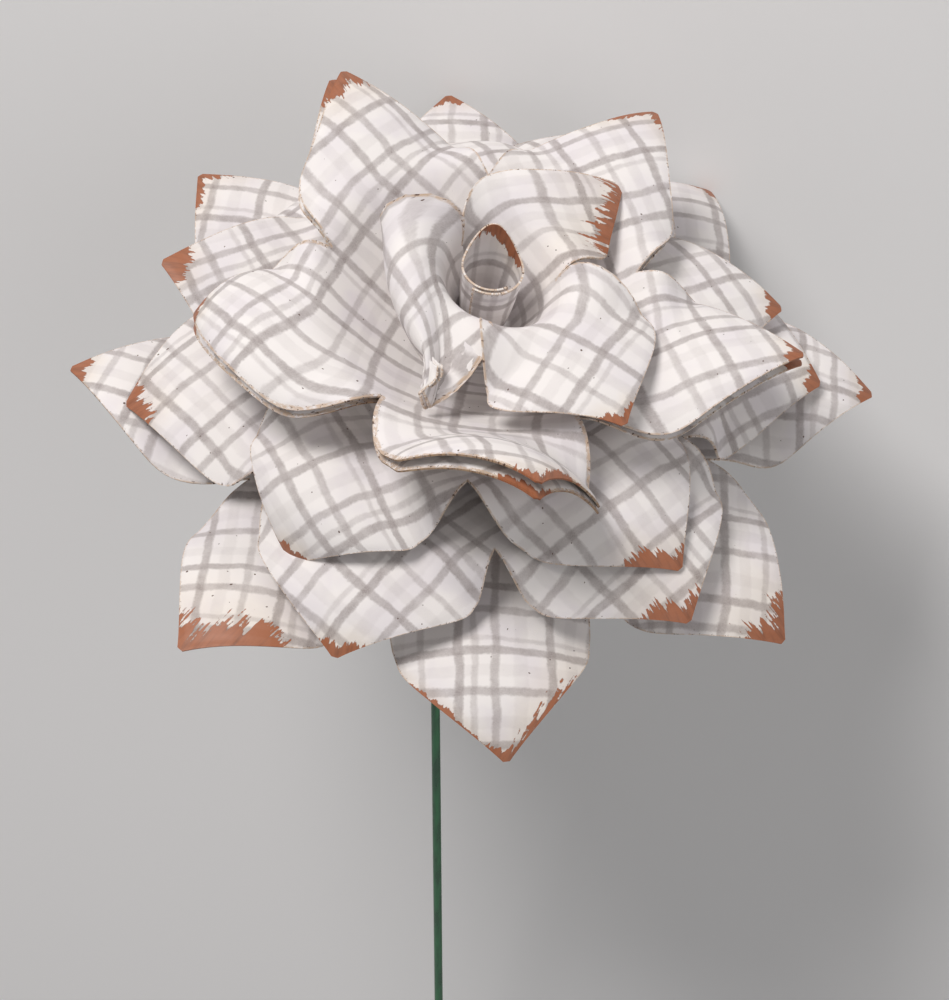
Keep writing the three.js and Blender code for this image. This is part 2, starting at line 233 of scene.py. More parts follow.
def half_width(layer, along):
    """Half the width of a petal at distances along its middle line."""
    past = (along - root_distance(layer)) / layer["reach"]
    widest = layer["width"] * layer.get("spread", SHOULDER_SPREAD)
    pointing = layer.get("pointing", POINTING)
    inside = along * math.tan(pattern_angle(layer) / 2)
    rising = lerp(layer["width"], widest, past / SHOULDER_PLACE) / 2
    share = np.clip((past - SHOULDER_PLACE) / (1 - SHOULDER_PLACE), -0.5, 1)
    full = 1 - pointing * share + layer.get("full", 0) * np.maximum(share, 0) * (1 - share)
    falling = lerp(TIP_WIDTH, widest, (1 - share) * full) / 2
    rounded = -np.log(np.exp(-CORNER * rising) + np.exp(-CORNER * falling)) / CORNER
    return np.where(past <= 0, inside, rounded)


def petal_spine(layer, index):
    """Distance, place out, height and slope along the curve of a petal's middle line."""
    slope = cone_slope(layer)
    middle = math.radians(90 - layer["rise"][index])
    curl = math.radians(layer["curl"][index])
    step = layer["reach"] / SPINE_STEPS
    share = (np.arange(SPINE_STEPS) + 0.5) / SPINE_STEPS
    start, end = layer["curl_span"][index] if "curl_span" in layer else (CURL_START, 1)
    curled = curl * smooth((share - start) / (end - start))
    angle = slope + (middle - slope) * smooth(share / BEND_END) + curled
    root = root_distance(layer)
    out = root * math.sin(slope) + np.concatenate([[0], np.cumsum(step * np.sin(angle))])
    height = root * math.cos(slope) + np.concatenate([[0], np.cumsum(step * np.cos(angle))])
    return np.arange(SPINE_STEPS + 1) * step, out, height, np.concatenate([[slope], angle])


def petal_points(layer, petal, along, across):
    """The places of points of the flat pattern once the layer is wound, and each petal bent."""
    slope = cone_slope(layer)
    root = root_distance(layer)
    first = math.radians(layer["first"])
    turns = (petal + np.arctan2(across, along) / pattern_angle(layer)) / layer["round"]
    lift = -LAP_STEP * turns if layer["strip"] > layer["round"] else 0 * turns
    distance = np.hypot(along, across)
    way = first + turns * 2 * math.pi
    out = distance * math.sin(slope) - lift * math.cos(slope)
    wound = np.stack([out * np.cos(way), out * np.sin(way),
                      distance * math.cos(slope) + lift * math.sin(slope)], -1)

    index = petal % layer["round"]
    past = along - root
    share = past / layer["reach"]
    swing = math.radians(layer["swing"][index]) * smooth(share / SWING_END)
    places, spine_out, spine_height, spine_angle = petal_spine(layer, index)
    at = np.clip(past * np.cos(swing) - across * np.sin(swing), 0, layer["reach"])
    side = past * np.sin(swing) + across * np.cos(swing)
    curve = lerp(math.cos(slope) / (root * math.sin(slope)), -1 / layer["cup"], smooth(share / BEND_END))
    curve = np.where(np.abs(curve) < 1e-6, 1e-6, curve)
    sideways = np.sin(curve * side) / curve
    inward = (1 - np.cos(curve * side)) / curve + lift
    angle = np.interp(at, places, spine_angle)
    out = np.interp(at, places, spine_out) - inward * np.cos(angle)
    height = np.interp(at, places, spine_height) + inward * np.sin(angle)
    way = first + petal / layer["round"] * 2 * math.pi
    bent = np.stack([out * math.cos(way) - sideways * math.sin(way),
                     out * math.sin(way) + sideways * math.cos(way), height], -1)
    blend = np.where(past <= 0, 0, smooth(past / BEND_BLEND))[..., None]
    return wound + (bent - wound) * blend


def one_petal(layer, petal):
    """The layer with the outline and cup of one of its petals."""
    index = petal % layer["round"]
    picked = {key: layer[key][index] for key in ("spread", "full", "cup")
              if isinstance(layer.get(key), list)}
    return {**layer, **picked}


def layer_sheet(name, inner_rows, outer_rows, half_columns, handmade=True):
    """The middle surface of a layer as points and quads, with what its finish needs at each corner."""
    layer = {**LAYERS[name], **(BY_HAND[name] if handmade else {})}
    slope = cone_slope(layer)
    lean = math.radians(layer["lean"])
    hole = HOLE_RADIUS * (1 + math.sin(lean) / math.tan(slope)) / math.sin(slope)
    root = root_distance(layer)
    steps = np.arange(1, outer_rows + 1) / outer_rows
    shares = np.linspace(-1, 1, 2 * half_columns + 1)
    if handmade:
        steps = lerp(steps, np.sin(steps * math.pi / 2), CROWDING)
        shares = lerp(shares, np.sin(shares * math.pi / 2), CROWDING)
    rows = np.concatenate([np.linspace(hole, root, inner_rows + 1), root + layer["reach"] * steps])
    along = np.repeat(rows[:, None], len(shares), 1)
    closed = layer["strip"] == layer["round"]
    points, quads, sheet, local = [], [], [], []
    edge, paint, wear = [], [], []
    print_turn = math.radians(layer["turn"])
    first_edge = last_edge = None
    for petal in range(layer["strip"]):
        shape = one_petal(layer, petal)
        half = half_width(shape, along)
        across = half * shares
        place = petal_points(shape, petal, along, across)
        turned = petal * pattern_angle(layer) + print_turn
        flat_x = along * math.cos(turned) - across * math.sin(turned) + layer["shift"][0]
        flat_y = along * math.sin(turned) + across * math.cos(turned) + layer["shift"][1]
        to_tip = layer["reach"] - (along - root)
        cut = half - np.abs(across)
        to_cut = np.where(along > root, np.minimum(cut * SIDE_SLANT, to_tip + TIP_ROOM),
                          np.hypot(root - along, cut))
        to_cut = np.minimum(to_cut, along - hole)
        falling = np.arange(half.shape[0]) > inner_rows + outer_rows // 3
        to_edge = np.interp(np.abs(across), half[falling, -1][::-1], along[falling, -1][::-1]) - along
        covered, turn = paint_depth(name, petal, to_edge, across)
        c, s = math.cos(turn), math.sin(turn)
        brush = np.stack([c * across - s * to_tip, s * across + c * to_tip], -1)
        ids = np.arange(along.size).reshape(along.shape) + sum(len(p) for p in points)
        points.append(place.reshape(-1, 3))
        edge.append(to_cut.ravel())
        paint.append(covered.ravel())
        wear.append(np.full(along.size, STRONG_WEAR.get((name, petal), WEAR[name])))
        if last_edge is not None:
            ids[:inner_rows + 1, 0] = last_edge[:inner_rows + 1]
        if closed and petal == layer["strip"] - 1:
            ids[:inner_rows + 1, -1] = first_edge[:inner_rows + 1]
        last_edge = ids[:, -1].copy()
        first_edge = ids[:, 0].copy() if first_edge is None else first_edge
        flat = np.stack([flat_x, flat_y], -1)
        for source, target in ((ids, quads), (flat, sheet), (brush, local)):
            corners = [source[:-1, :-1], source[1:, :-1], source[1:, 1:], source[:-1, 1:]]
            tail = source.shape[2:]
            target.append(np.stack(corners, 2).reshape((-1, 4) + tail))
    points = np.concatenate(points)
    grid = dict(quads=np.concatenate(quads), sheet=np.concatenate(sheet), brush=np.concatenate(local),
                edge=np.concatenate(edge), paint=np.concatenate(paint), wear=np.concatenate(wear))
    if handmade:
        points = points + crumple(points, grid)
    grid["points"] = points @ about_y(layer["lean"]).T + np.array([0, 0, layer["up"]])
    return grid


def paint_depth(name, petal, to_edge, across):
    """How far inside its paint each point lies, for the raggedness of the stroke, and the brush's turn."""
    depth = np.full(across.shape, UNPAINTED)
    turn = 0.0
    for place, span, length, ragged, brush in PAINT[name][petal]:
        reach = length * (1 - ((across - place) / span) ** 2) * STROKE_REACH - STROKE_INSET
        depth = np.maximum(depth, (reach - to_edge) / ragged)
        turn = math.radians(brush)
    return depth, turn


def crumple(points, grid):
    """Small soft dents and waves of hand-curled paper, along each point's own normal."""
    normals = point_normals(points, grid["quads"])
    height = np.empty(len(points))
    for i, (x, y, z) in enumerate(points):
        # the added lengths keep the two noises apart
        broad = noise.noise(Vector((x, y, z + 40)) / BROAD_SIZE)
        fine = noise.noise(Vector((x + 9, y, z)) / FINE_SIZE)
        height[i] = BROAD_DENT * broad + FINE_DENT * fine
    from_axis = np.hypot(points[:, 0], points[:, 1])
    free = smooth((from_axis - DENTS_START) / DENTS_RISE)
    pressing = PRESSED_EDGE + PRESSED_BY_WEAR * grid["wear"]
    pressed = pressing * (1 - smooth(grid["edge"] / PRESSED_WIDTH))
    return normals * ((height - pressed) * free)[:, None]


def point_normals(points, quads):
    a, b, c, d = (points[quads[:, i]] for i in range(4))
    face = np.cross(c - a, d - b)
    normals = np.zeros_like(points)
    for i in range(4):
        np.add.at(normals, quads[:, i], face)
    length = np.linalg.norm(normals, axis=1, keepdims=True)
    return normals / np.maximum(length, 1e-12)


def thicken(grid):
    """Front, back and cut rim of a sheet of paper: points, quads and their corner values."""
    points, quads = grid["points"], grid["quads"]
    normals = point_normals(points, quads)
    count = len(points)
    half = PAPER_THICKNESS / 2
    both = np.concatenate([points + normals * half, points - normals * half])
    back = quads[:, ::-1] + count
    seen = {}
    for n, quad in enumerate(quads):
        for k in range(4):
            pair = (int(quad[k]), int(quad[(k + 1) % 4]))
            if (pair[1], pair[0]) in seen:
                del seen[(pair[1], pair[0])]
            else:
                seen[pair] = (n, k)
    rim, corner = [], []
    for (start, end), (n, k) in seen.items():
        rim.append((start, start + count, end + count, end))
        corner.append((n, k))
    corner = np.array(corner)
    faces = np.concatenate([quads, back, np.array(rim)])
    values = {}
    for key in ("sheet", "brush"):
        at = grid[key]
        here, there = at[corner[:, 0], corner[:, 1]], at[corner[:, 0], (corner[:, 1] + 1) % 4]
        values[key] = np.concatenate([at, at[:, ::-1], np.stack([here, here, there, there], 1)])
    kind = np.concatenate([np.zeros(len(quads)), np.ones(len(quads)), np.full(len(rim), 2)])
    return both, faces, values, kind.astype(np.int32)


def add_piece(name, points, faces, materials, kind=None, values=None, fields=None):
    """A mesh object of the flower, with its points in the model's frame."""
    mesh = bpy.data.meshes.new(name)
    placed = (points @ TO_FRAME_TURN.T + TO_FRAME_PLACE) * MM
    mesh.from_pydata(placed.tolist(), [], [list(map(int, face)) for face in faces])
    for key, value in (values or {}).items():
        layer = mesh.uv_layers.new(name=key)
        layer.uv.foreach_set("vector", value.reshape(-1).astype(np.float32))
    for key, value in (fields or {}).items():
        attribute = mesh.attributes.new(key, "FLOAT", "POINT")
        attribute.data.foreach_set("value", value.astype(np.float32))
    for material in materials:
        mesh.materials.append(material)
    if kind is not None:
        mesh.polygons.foreach_set("material_index", kind)
    mesh.polygons.foreach_set("use_smooth", np.ones(len(mesh.polygons), dtype=bool))
    mesh.set_sharp_from_angle(angle=math.radians(SHARP_ANGLE))
    mesh.update()
    piece = bpy.data.objects.new(name, mesh)
    bpy.context.scene.collection.objects.link(piece)
    return piece


# The lying place, with two outer tips and the end of the stem on the ground

def stem_points(pieces):
    """Points of the wire's middle line in the flower's own frame, from its top down."""
    step = STEM_LENGTH / pieces
    line, at = [np.array([0, 0, WIRE_TOP])], np.zeros(3)
    for i in range(pieces + 1):
        side = -STEM_SIDE_STEP * smooth((i * step - GLUE_HEIGHT) / STEM_SIDE_LENGTH)
        line.append(np.array([side, at[1], at[2]]))
        lean = math.radians(STEM_LEAN) * smooth(i * step / STEM_BEND)
        at = at - step * np.array([0, math.sin(lean), math.cos(lean)])
    return np.array(line)


def lying_turn():
    """Rows of the turn from the flower's own frame to the frame in which it lies."""
    grid = layer_sheet("outer_sheet", *SOLID_GRID, handmade=False)
    solid, _, _, _ = thicken(grid)
    feet = []
    for petal in REST_PETALS:
        way = math.radians(LAYERS["outer_sheet"]["first"] + 360 / LAYERS["outer_sheet"]["round"] * petal)
        reach = solid @ np.array([math.cos(way), math.sin(way), 0])
        feet.append(solid[reach > reach.max() - FOOT_REACH])
    line = stem_points(SOLID_STEM_PIECES)
    tangent = line[-1] - line[-2]
    tangent /= np.linalg.norm(tangent)
    sideways = np.cross(tangent, [1, 0, 0])
    sideways /= np.linalg.norm(sideways)
    other = np.cross(tangent, sideways)
    turns = np.linspace(0, 2 * math.pi, 61)[:-1]
    ring = np.array([line[-1] + WIRE_DIAMETER / 2 * (sideways * math.cos(t) + other * math.sin(t))
                     for t in turns])
    feet.append(ring)
    up = np.array(FIRST_UP) / np.linalg.norm(FIRST_UP)
    for _ in range(5):
        contact = [points[np.argmin(points @ up)] for points in feet]
        normal = np.cross(contact[1] - contact[0], contact[2] - contact[0])
        normal /= np.linalg.norm(normal)
        up = -normal if normal @ up < 0 else normal
    head = (contact[0] + contact[1]) / 2 - contact[2]
    forward = head - up * (head @ up)
    forward /= np.linalg.norm(forward)
    right = np.cross(forward, up)
    turn = np.stack([right, forward, up])
    low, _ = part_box("outer_sheet")
    place = np.array(low) / MM - (solid @ turn.T).min(0)
    return turn, place


TO_FRAME_TURN, TO_FRAME_PLACE = lying_turn()


# Colours and shader nodes

def colour(red, green, blue):
    """A colour given as it looks on a screen, 0 to 255, as the shader needs it."""
    def linear(value):
        value = value / 255
        return value / 12.92 if value <= 0.04045 else ((value + 0.055) / 1.055) ** 2.4
    return (linear(red), linear(green), linear(blue), 1)


def feed(tree, node, inputs):
    """Gives each input of a node its value, or the socket that feeds it."""
    for key, value in inputs.items():
        if isinstance(value, bpy.types.NodeSocket):
            tree.links.new(value, node.inputs[key])
        else:
            node.inputs[key].default_value = value


def put(tree, kind, inputs=None, **settings):
    """A node with its settings and inputs."""
    made = tree.nodes.new("ShaderNode" + kind)
    for name, value in settings.items():
        setattr(made, name, value)
    feed(tree, made, inputs or {})
    return made


def calc(tree, operation, *values):
    made = put(tree, "Math", dict(enumerate(values)), operation=operation)
    return made.outputs[0]


def band(tree, value, low, high):
    """Zero below low, one above high and smooth between them."""
    made = put(tree, "MapRange", {"Value": value, "From Min": low, "From Max": high},
               interpolation_type="SMOOTHSTEP", clamp=True)
    return made.outputs["Result"]


def grain(tree, vector, scale, detail=3.0, rough=0.55, stretch=None):
    """Noise over the sheet, about a half, whose features are 1/scale millimetres across."""
    if stretch:
        vector = put(tree, "VectorMath", {0: vector, 1: (*stretch, 1)}, operation="MULTIPLY").outputs[0]
    made = put(tree, "TexNoise", {"Vector": vector, "Scale": scale, "Detail": detail, "Roughness": rough})
    return made.outputs["Fac"]


def mix(tree, share, a, b, blend="MIX"):
    made = put(tree, "Mix", {0: share, 6: a, 7: b}, data_type="RGBA", blend_type=blend)
    return made.outputs[2]


def group(name, inputs, outputs):
    """An empty shared node group with its sockets, and its two end nodes."""
    tree = bpy.data.node_groups.new(name, "ShaderNodeTree")
    for label, kind, value in inputs:
        socket = tree.interface.new_socket(label, in_out="INPUT", socket_type="NodeSocket" + kind)
        if value is not None:
            socket.default_value = value
    for label, kind in outputs:
        tree.interface.new_socket(label, in_out="OUTPUT", socket_type="NodeSocket" + kind)
    return tree, tree.nodes.new("NodeGroupInput"), tree.nodes.new("NodeGroupOutput")


def use(tree, shared, inputs):
    """Places a shared group in a material with its own values."""
    made = tree.nodes.new("ShaderNodeGroup")
    made.node_tree = shared
    feed(tree, made, inputs)
    return made.outputs


# Bands of the plaid along one repeat: middle, half width and depth, all in shares of the repeat.
SETT_ACROSS = [(0.045, 0.026, 1.0), (0.135, 0.020, 0.55), (0.255, 0.023, 0.85), (0.40, 0.040, 0.16),
               (0.575, 0.026, 0.95), (0.70, 0.034, 0.18), (0.83, 0.021, 0.60)]
SETT_ALONG = [(0.05, 0.024, 0.85), (0.17, 0.036, 0.17), (0.295, 0.026, 1.0), (0.375, 0.015, 0.45),
              (0.57, 0.024, 0.80), (0.735, 0.025, 0.95), (0.87, 0.036, 0.16)]
PLAID_REPEAT = 25.0
BAND_SOFTNESS = 0.007
BAND_INK = 0.75  # how much of the paper one band hides


def sett_bands(tree, value, bands):
    """Depth of one direction's bands at a distance across them, from a repeating row of stops."""
    share = calc(tree, "FRACT", calc(tree, "DIVIDE", value, PLAID_REPEAT))
    ramp = tree.nodes.new("ShaderNodeValToRGB")
    tree.links.new(share, ramp.inputs[0])
    stops = ramp.color_ramp.elements
    stops[0].position, stops[0].color = 0, (0, 0, 0, 1)
    stops[1].position, stops[1].color = 1, (0, 0, 0, 1)
    for middle, half, depth in bands:
        outer, inner = half + BAND_SOFTNESS, half - BAND_SOFTNESS
        for place, level in ((-outer, 0), (-inner, depth), (inner, depth), (outer, 0)):
            stop = stops.new(middle + place)
            stop.color = (level, level, level, 1)
    return ramp.outputs[0]


def shaken(tree, sheet, start, scale, detail, amount):
    """Places moved about by noise over the sheet, by up to half the amount in millimetres."""
    cloud = put(tree, "TexNoise", {"Vector": sheet, "Scale": scale, "Detail": detail})
    shake = put(tree, "VectorMath", {0: cloud.outputs["Color"], 1: (0.5, 0.5, 0.5)}, operation="SUBTRACT")
    moved = put(tree, "VectorMath", {0: shake.outputs[0], 1: (amount, amount, 0), 2: start},
                operation="MULTIPLY_ADD")
    return moved.outputs[0]


def spread(tree, value, low, high):
    """Noise stretched so that its usual range runs from low to high."""
    made = put(tree, "MapRange", {"Value": value, "From Min": 0.3, "From Max": 0.7,
                                  "To Min": low, "To Max": high})
    return made.outputs["Result"]


def plaid_group():
    """Two rows of inked bands that cross, with uneven edges and ink that pools and speckles."""
    tree, given, result = group("brushed_plaid", [("Sheet", "Vector", None)], [("Depth", "Float")])
    sheet = given.outputs["Sheet"]
    wavy = shaken(tree, sheet, sheet, 0.16, 2.0, 1.4)
    frayed = shaken(tree, sheet, wavy, 2.2, 3.0, 0.42)
    parts = put(tree, "SeparateXYZ", {0: frayed})
    across = sett_bands(tree, parts.outputs["X"], SETT_ACROSS)
    along = sett_bands(tree, parts.outputs["Y"], SETT_ALONG)
    pooled = spread(tree, grain(tree, sheet, 0.55), 0.72, 1.1)
    speckled = spread(tree, grain(tree, sheet, 5.0), 0.8, 1.08)
    clear = calc(tree, "MULTIPLY", calc(tree, "SUBTRACT", 1.0, calc(tree, "MULTIPLY", across, BAND_INK)),
                 calc(tree, "SUBTRACT", 1.0, calc(tree, "MULTIPLY", along, BAND_INK)))
    ink = calc(tree, "MULTIPLY", pooled, speckled)
    depth = calc(tree, "MULTIPLY", calc(tree, "SUBTRACT", 1.0, clear), ink)
    tree.links.new(depth, result.inputs["Depth"])
    return tree


def cut_edge_group():
    """Rubbed and inked cut edges: a soft tan line that breaks up, and a few dark specks."""
    tree, given, result = group(
        "rubbed_edge", [("Sheet", "Vector", None), ("Edge", "Float", 0.0), ("Wear", "Float", 0.2)],
        [("Rub", "Float"), ("Specks", "Float")])
    sheet, edge, wear = (given.outputs[key] for key in ("Sheet", "Edge", "Wear"))
    patchy = calc(tree, "MULTIPLY_ADD", grain(tree, sheet, 0.35, 4.0), 2.6, -0.3)
    uneven = calc(tree, "MULTIPLY", wear, patchy)
    rub = calc(tree, "SUBTRACT", 1.0, band(tree, calc(tree, "SUBTRACT", edge, uneven), -0.08, 0.22))
    broken = band(tree, grain(tree, sheet, 1.6, 4.0, 0.7), 0.36, 0.56)
    tree.links.new(calc(tree, "MULTIPLY", rub, broken), result.inputs["Rub"])
    spots = band(tree, grain(tree, sheet, 2.6, 2.0, 0.5), 0.62, 0.66)
    near = calc(tree, "SUBTRACT", 1.0, band(tree, calc(tree, "SUBTRACT", edge, wear), -0.1, 0.5))
    stray = band(tree, grain(tree, sheet, 1.3, 1.0, 0.4), 0.775, 0.79)
    dots = calc(tree, "MAXIMUM", calc(tree, "MULTIPLY", spots, near), stray)
    tree.links.new(dots, result.inputs["Specks"])
    return tree


def dry_brush_group():
    """Paint dragged in with a nearly dry brush: solid at the edge, combed out where the stroke ends."""
    tree, given, result = group(
        "dry_brush", [("Brush", "Vector", None), ("Depth", "Float", 0.0)],
        [("Cover", "Float"), ("Thickness", "Float"), ("Stain", "Float")])
    brush, depth = (given.outputs[key] for key in ("Brush", "Depth"))
    hairs = grain(tree, brush, 1.0, 2.0, 0.55, stretch=(1.35, 0.16))
    blots = grain(tree, brush, 0.8, 4.0, 0.6)
    rough = calc(tree, "MULTIPLY_ADD", calc(tree, "SUBTRACT", hairs, 0.5), 4.2,
                 calc(tree, "MULTIPLY", calc(tree, "SUBTRACT", blots, 0.5), 1.8))
    level = calc(tree, "ADD", rough, depth)
    cover = band(tree, level, 0.0, 0.22)
    tree.links.new(cover, result.inputs["Cover"])
    tree.links.new(calc(tree, "MULTIPLY", cover, calc(tree, "MULTIPLY_ADD", hairs, 0.8, 0.3)),
                   result.inputs["Thickness"])
    tree.links.new(band(tree, calc(tree, "ADD", depth, blots), -3.2, 1.0), result.inputs["Stain"])
    return tree


def fibre_group():
    """Felted paper: a fine tooth with a few longer fibres, and a slow change of tone."""
    tree, given, result = group(
        "paper_fibre", [("Sheet", "Vector", None)], [("Tooth", "Float"), ("Cloud", "Float")])
    sheet = given.outputs["Sheet"]
    fine = grain(tree, sheet, 7.0, 4.0, 0.6)
    long = grain(tree, sheet, 2.0, 3.0, 0.6, stretch=(0.5, 2.4))
    tree.links.new(calc(tree, "MULTIPLY_ADD", long, 0.5, fine), result.inputs["Tooth"])
    tree.links.new(grain(tree, sheet, 0.11, 3.0, 0.5), result.inputs["Cloud"])
    return tree


PLAID, RUBBED, DRY_BRUSH, FIBRE = plaid_group(), cut_edge_group(), dry_brush_group(), fibre_group()

PAPER_WHITE = colour(240, 235, 233)
PAPER_LILAC = colour(232, 226, 228)
PAPER_BACK = colour(232, 227, 223)
PLAID_GREY = colour(156, 146, 144)
EDGE_TAN = colour(198, 168, 138)
SPECK_DARK = colour(84, 58, 46)
CREAM_STAIN = colour(240, 226, 202)
RIM_BROWN = colour(122, 92, 74)
COPPER = colour(163, 98, 64)
COPPER_DEEP = colour(112, 66, 42)
ENAMEL_DARK = colour(24, 74, 44)
ENAMEL_GREEN = colour(38, 104, 62)
GLUE_PALE = colour(232, 224, 200)
GLUE_DEEP = colour(214, 200, 168)
FLOOR_PALE = colour(232, 231, 231)
FLOOR_MOTTLED = colour(226, 225, 226)


def new_material(name):
    material = bpy.data.materials.new(name)
    material.use_nodes = True
    tree = material.node_tree
    shader = tree.nodes["Principled BSDF"]
    return material, tree, shader


def uv(tree, name):
    return put(tree, "UVMap", uv_map=name).outputs["UV"]


def field(tree, name):
    return put(tree, "Attribute", attribute_name=name).outputs["Fac"]


def paper_material(name, printed, rim=False):
    """Printed front, plain back or cut rim of the sheet, with paint over it."""
    material, tree, shader = new_material(name)
    sheet = uv(tree, "sheet")
    edge = field(tree, "edge")
    fibre = use(tree, FIBRE, {"Sheet": sheet})
    cloud = band(tree, fibre["Cloud"], 0.42, 0.66)
    base = mix(tree, cloud, PAPER_WHITE if printed else PAPER_BACK, PAPER_LILAC if printed else PAPER_WHITE)
    if printed:
        depth = use(tree, PLAID, {"Sheet": sheet})["Depth"]
        base = mix(tree, depth, base, PLAID_GREY)
    if rim:
        worn = band(tree, field(tree, "wear"), 0.12, 0.6)
        inked = calc(tree, "MULTIPLY", worn, grain(tree, sheet, 0.9, 4.0, 0.7))
        base = mix(tree, band(tree, inked, 0.15, 0.5), base, RIM_BROWN)
    wear = use(tree, RUBBED, {"Sheet": sheet, "Edge": edge, "Wear": field(tree, "wear")})
    base = mix(tree, calc(tree, "MULTIPLY", wear["Rub"], 0.75), base, EDGE_TAN)
    base = mix(tree, wear["Specks"], base, SPECK_DARK)
    paint = use(tree, DRY_BRUSH, {"Brush": uv(tree, "brush"), "Depth": field(tree, "paint")})
    base = mix(tree, calc(tree, "MULTIPLY", paint["Stain"], 0.32), base, CREAM_STAIN, "MULTIPLY")
    tint = mix(tree, band(tree, paint["Thickness"], 0.42, 0.78), COPPER_DEEP, COPPER)
    base = mix(tree, calc(tree, "MULTIPLY", paint["Cover"], 0.96), base, tint)
    tree.links.new(base, shader.inputs["Base Color"])
    rough = put(tree, "MapRange", {"Value": paint["Cover"], "To Min": 0.78, "To Max": 0.46})
    tree.links.new(rough.outputs["Result"], shader.inputs["Roughness"])
    height = calc(tree, "MULTIPLY_ADD", paint["Thickness"], 1.6, fibre["Tooth"])
    bump = put(tree, "Bump", {"Height": height, "Strength": 0.35, "Distance": 0.00006})
    tree.links.new(bump.outputs["Normal"], shader.inputs["Normal"])
    shader.inputs["Specular IOR Level"].default_value = 0.35
    return material


def wire_material():
    """Green enamel over wire: glossy, a little uneven, worn darker in places."""
    material, tree, shader = new_material("green_enamel")
    place = put(tree, "TexCoord").outputs["Object"]
    drawn = put(tree, "VectorMath", {0: place, 1: (400, 60, 400)}, operation="MULTIPLY").outputs[0]
    uneven = put(tree, "TexNoise", {"Vector": drawn, "Scale": 2.0, "Detail": 3.0}).outputs["Fac"]
    tint = mix(tree, band(tree, uneven, 0.35, 0.7), ENAMEL_DARK, ENAMEL_GREEN)
    tree.links.new(tint, shader.inputs["Base Color"])
    rough = put(tree, "MapRange", {"Value": uneven, "To Min": 0.16, "To Max": 0.42})
    tree.links.new(rough.outputs["Result"], shader.inputs["Roughness"])
    bump = put(tree, "Bump", {"Height": uneven, "Strength": 0.4, "Distance": 0.0001})
    tree.links.new(bump.outputs["Normal"], shader.inputs["Normal"])
    return material


def glue_material():
    """Cloudy set glue, with fine bubbles."""
    material, tree, shader = new_material("set_glue")
    place = put(tree, "TexCoord").outputs["Object"]
    cloudy = put(tree, "TexNoise", {"Vector": place, "Scale": 420.0, "Detail": 3.0}).outputs["Fac"]
    tint = mix(tree, band(tree, cloudy, 0.35, 0.68), GLUE_PALE, GLUE_DEEP)
    tree.links.new(tint, shader.inputs["Base Color"])
    rough = put(tree, "MapRange", {"Value": cloudy, "To Min": 0.22, "To Max": 0.5})
    tree.links.new(rough.outputs["Result"], shader.inputs["Roughness"])
    bubbles = put(tree, "TexVoronoi", {"Vector": place, "Scale": 1400.0}).outputs["Distance"]
    bump = put(tree, "Bump", {"Height": bubbles, "Strength": 0.25, "Distance": 0.0002})
    tree.links.new(bump.outputs["Normal"], shader.inputs["Normal"])
    return material


FRONT = paper_material("plaid_paper_front", True)
BACK = paper_material("plaid_paper_back", False)
RIM = paper_material("cut_paper_rim", False, rim=True)
ENAMEL, GLUE = wire_material(), glue_material()


# The pieces of the flower

def petal_layer(name):
    """One sheet of petals, printed on its front and painted at its tips."""
    grid = layer_sheet(name, *FINE_GRID)
    points, faces, values, kind = thicken(grid)
    fields = {key: np.concatenate([grid[key], grid[key]]) for key in ("edge", "paint", "wear")}
    piece = add_piece(f"{name}_paper", points, faces, [FRONT, BACK, RIM], kind, values, fields)
    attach(piece, "root")
    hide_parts(name)


def centre_roll():
    """One petal rolled to a tapered cup, its pointed tip left as a lip."""
    inner = LAYERS["inner_ring"]
    slope = cone_slope(inner)
    seat = ROLL["bottom"] + PAPER_THICKNESS / 2 + ROLL["room"] + PAPER_THICKNESS / 2 / math.cos(slope)
    bottom = seat / math.tan(slope)
    columns, rows = 110, 26
    paint_turn, paint_height, paint_narrowing, paint_inset = 28, 4.2, 1.5, 1.2
    wear = 0.25
    turn = math.radians(360 + ROLL["lap"]) * np.arange(columns + 1)[:, None] / columns
    share = np.arange(rows + 1)[None, :] / rows
    way = math.radians(ROLL["seam"]) + turn
    from_lip = np.cos(way - math.radians(ROLL["lip_direction"]))
    top = ROLL["height"] + ROLL["lip"] * np.maximum(from_lip, 0) ** 3
    radius = lerp(ROLL["bottom"], ROLL["mouth"], np.sqrt(share)) - LAP_STEP * turn / (2 * math.pi)
    place = np.stack([radius * np.cos(way), radius * np.sin(way), bottom + top * share], -1)
    flat = np.stack([turn * ROLL["mouth"] + 0 * share, top * share], -1)
    to_top = top * (1 - share)
    to_side = np.minimum(turn, turn[-1] - turn) * ROLL["mouth"] + 0 * share
    edge = np.minimum(to_top, to_side)
    lip = np.cos(way - math.radians(ROLL["lip_direction"] - paint_turn)).clip(0, 1) + 0 * share
    paint = paint_height * lip ** paint_narrowing - paint_inset - to_top
    ids = np.arange(place.shape[0] * place.shape[1]).reshape(place.shape[:2])
    corners = [(slice(None, -1), slice(None, -1)), (slice(1, None), slice(None, -1)),
               (slice(1, None), slice(1, None)), (slice(None, -1), slice(1, None))]
    grid = {"quads": np.stack([ids[c] for c in corners], 2).reshape(-1, 4),
            "sheet": np.stack([flat[c] for c in corners], 2).reshape(-1, 4, 2),
            "points": place.reshape(-1, 3)}
    grid["brush"] = grid["sheet"]
    grid["points"] = grid["points"] @ about_y(ROLL["lean"]).T + np.array([0, 0, inner["up"]])
    points, faces, values, kind = thicken(grid)
    fields = {"edge": np.tile(edge.ravel(), 2), "wear": np.full(2 * edge.size, wear),
              "paint": np.concatenate([np.full(paint.size, UNPAINTED), paint.ravel()])}
    piece = add_piece("centre_roll_paper", points, faces, [FRONT, FRONT, RIM], kind, values, fields)
    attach(piece, "root")
    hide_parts("centre_roll")


